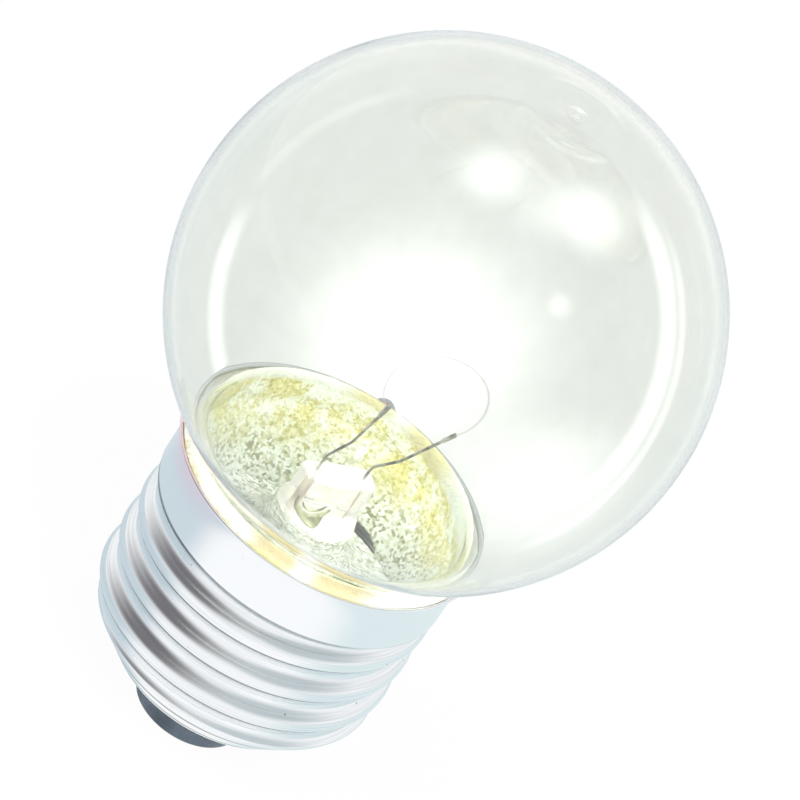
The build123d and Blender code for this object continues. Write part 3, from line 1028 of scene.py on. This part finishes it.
def seen_behind(across, up, layer):
    """The place on the floor that shows through the globe, by shares of the globe's radius as it is seen."""
    eye = camera.matrix_world.translation
    aim = globe_middle + turn @ Vector((across, up, 0)) * globe_radius * MM - eye
    return eye + aim * ((eye.z - pool_lift * (layer + 1)) / -aim.z)


def light_pool(layer, name, place, reach, level, core):
    """A soft oval pool of light behind the globe, full inside its core."""
    def laid(share, angle):
        across = place[0] + reach[0] * share * math.cos(angle)
        up = place[1] + reach[1] * share * math.sin(angle)
        return seen_behind(across, up, layer)

    return round_card(name, "glass", (level, level, level), core, pool_sharpness, laid)


def light_arc(layer, name, inner, outer, start, end, level):
    """A soft curved pool behind the globe's edge, between two angles in degrees from the picture's right."""
    rows = []
    for ring in range(11):
        share = ring / 10
        out = inner + (outer - inner) * share
        row = []
        for step in range(41):
            along = step / 40
            angle = math.radians(start + (end - start) * along)
            fade = eased(2.5 * min(share, 1 - share)) * eased(4 * min(along, 1 - along))
            place = seen_behind(out * math.cos(angle), out * math.sin(angle), layer)
            row.append((place, tinted((level, level, level), fade)))
        rows.append(row)
    return grid_card(name, rows, "glass")


flag_middle = Vector((0, 0, 0.015))


def metal_flag(distance, name, azimuth, elevation, reach, core, level):
    """A round card above the bulb, seen by the metal at angles in degrees from the front and the floor."""
    side, rise, spread = (math.radians(angle) for angle in (azimuth, elevation, reach))
    middle = Vector((math.sin(side) * math.cos(rise), -math.cos(side) * math.cos(rise), math.sin(rise)))
    across = middle.cross(Vector((0, 0, 1))).normalized()
    up = across.cross(middle)

    def laid(share, angle):
        off = across * math.cos(angle) + up * math.sin(angle)
        aim = middle * math.cos(spread * share) + off * math.sin(spread * share)
        return flag_middle + aim * distance

    return round_card(name, "metal", level, core, 1, laid)


def metal_board(name, height, reach, tints):
    """A round board just over the floor, tinted by the direction from the front that it lies in."""
    rows = []
    for ring in range(9):
        radius = reach * (ring / 8) ** 2
        row = []
        for step in range(73):
            azimuth = -180 + 360 * step / 72
            for (before, first), (after, second) in zip(tints, tints[1:]):
                if before <= azimuth <= after:
                    share = eased((azimuth - before) / (after - before))
                    tint = tuple(a + (b - a) * share for a, b in zip(first, second))
            angle = math.radians(azimuth)
            row.append((Vector((radius * math.sin(angle), -radius * math.cos(angle), height)), tint))
        rows.append(row)
    return grid_card(name, rows, "metal")


pools = (
    ("bloom_pool", (-0.12, -0.12), (0.70, 0.62), 1.75, 0.08),
    ("haze_pool", (-0.08, 0.22), (0.80, 0.70), 1.12, 0.0),
    ("right_pool", (0.34, -0.68), (0.60, 0.48), 1.38, 0.2),
    ("middle_pool", (0.34, -0.12), (0.32, 0.36), 1.08, 0.1),
    ("first_patch_pool", (0.18, 0.535), (0.24, 0.19), 1.44, 0.1),
    ("second_patch_pool", (0.57, 0.36), (0.21, 0.22), 1.50, 0.1),
    ("bridge_pool", (0.42, 0.40), (0.27, 0.20), 1.26, 0.1),
    ("small_patch_pool", (0.425, 0.03), (0.08, 0.08), 1.26, 0.15),
    ("bead_pool", (0.468, 0.655), (0.065, 0.05), 1.26, 0.2),
)
for layer, values in enumerate(pools):
    light_pool(layer, *values)
arcs = (
    ("right_arc_pool", 0.82, 0.95, -58, 38, 1.5),
    ("right_edge_pool", 0.93, 0.995, -80, 30, 1.35),
    ("left_arc_pool", 0.83, 0.94, 148, 208, 1.45),
    ("top_arc_pool", 0.86, 0.94, 95, 150, 1.10),
)
for layer, values in enumerate(arcs):
    light_arc(len(pools) + layer, *values)
metal_flag(1.5, "dark_flag", -66, 45, 62, 0.2, (0.20, 0.19, 0.20))
metal_flag(1.6, "grey_flag", 55, 50, 48, 0.3, (0.60, 0.66, 0.68))
board_left = (0.66, 0.75, 0.80)
board_front = (1.06, 1.06, 1.06)
board_right = (0.80, 0.90, 0.91)
board_back = (0.85, 0.92, 0.95)
metal_board("floor_board", 0.0004, 0.5, [
    (-180, board_back), (-120, board_left), (-62, board_left), (-38, board_front),
    (34, board_front), (70, board_right), (130, board_right), (180, board_back),
])


def lamp_that_only_lights(data, place):
    """A lamp in its place, turned to the globe, that shows neither to the camera nor in glass or metal."""
    lamp = bpy.data.objects.new(data.name, data)
    bpy.context.scene.collection.objects.link(lamp)
    aim = (place - globe_middle).normalized()
    lamp.matrix_world = Matrix.Translation(place) @ aim.to_track_quat("Z", "Y").to_matrix().to_4x4()
    lamp.visible_camera = False
    lamp.visible_glossy = False
    lamp.visible_transmission = False


def soft_lamp(name, place, size, power):
    """A round lamp that faces the globe."""
    data = bpy.data.lights.new(name, "AREA")
    data.shape = "DISK"
    data.size = size
    data.energy = power
    lamp_that_only_lights(data, Vector(place))


inner_data = bpy.data.lights.new("inner_lamp", "POINT")
inner_data.energy = 0.036
inner_data.shadow_soft_size = 0.006
lamp_that_only_lights(inner_data, globe_middle + Vector((0.005, -0.003, -0.004)))
soft_lamp("key_lamp", (0.35, -0.75, 0.75), 0.5, 10.0)
soft_lamp("fill_lamp", (-0.6, -0.5, 0.5), 0.6, 6.0)
